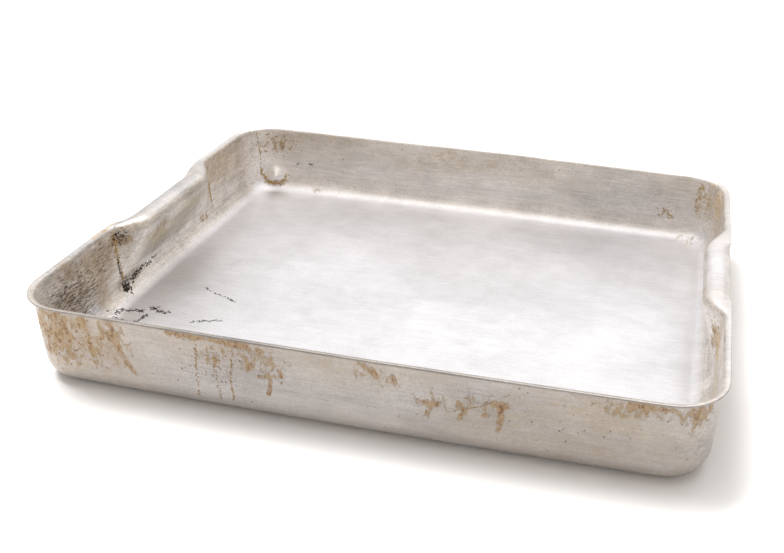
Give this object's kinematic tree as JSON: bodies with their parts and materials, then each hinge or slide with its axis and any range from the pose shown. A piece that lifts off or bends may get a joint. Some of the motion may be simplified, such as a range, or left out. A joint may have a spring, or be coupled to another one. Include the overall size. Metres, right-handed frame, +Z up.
{
  "type": "roasting pan",
  "caption": "Shallow rectangular roasting pan pressed from one aluminium sheet, with rounded corners, a flared lip and a pinched grip in each short end.",
  "frame": {"origin": "middle of the underside, on the surface that the pan stands on", "axes": "+X along the pan's length, towards one grip; +Y across it; +Z up out of the pan's open top"},
  "size_m": [0.5197, 0.4198, 0.07],
  "materials": {
    "aluminium": "worn satin aluminium, with fine brush lines, a tan baked-on film, brown stains and a little burnt crust"
  },
  "bodies": {
    "root": {"pan": "aluminium"}
  },
  "joints": []
}
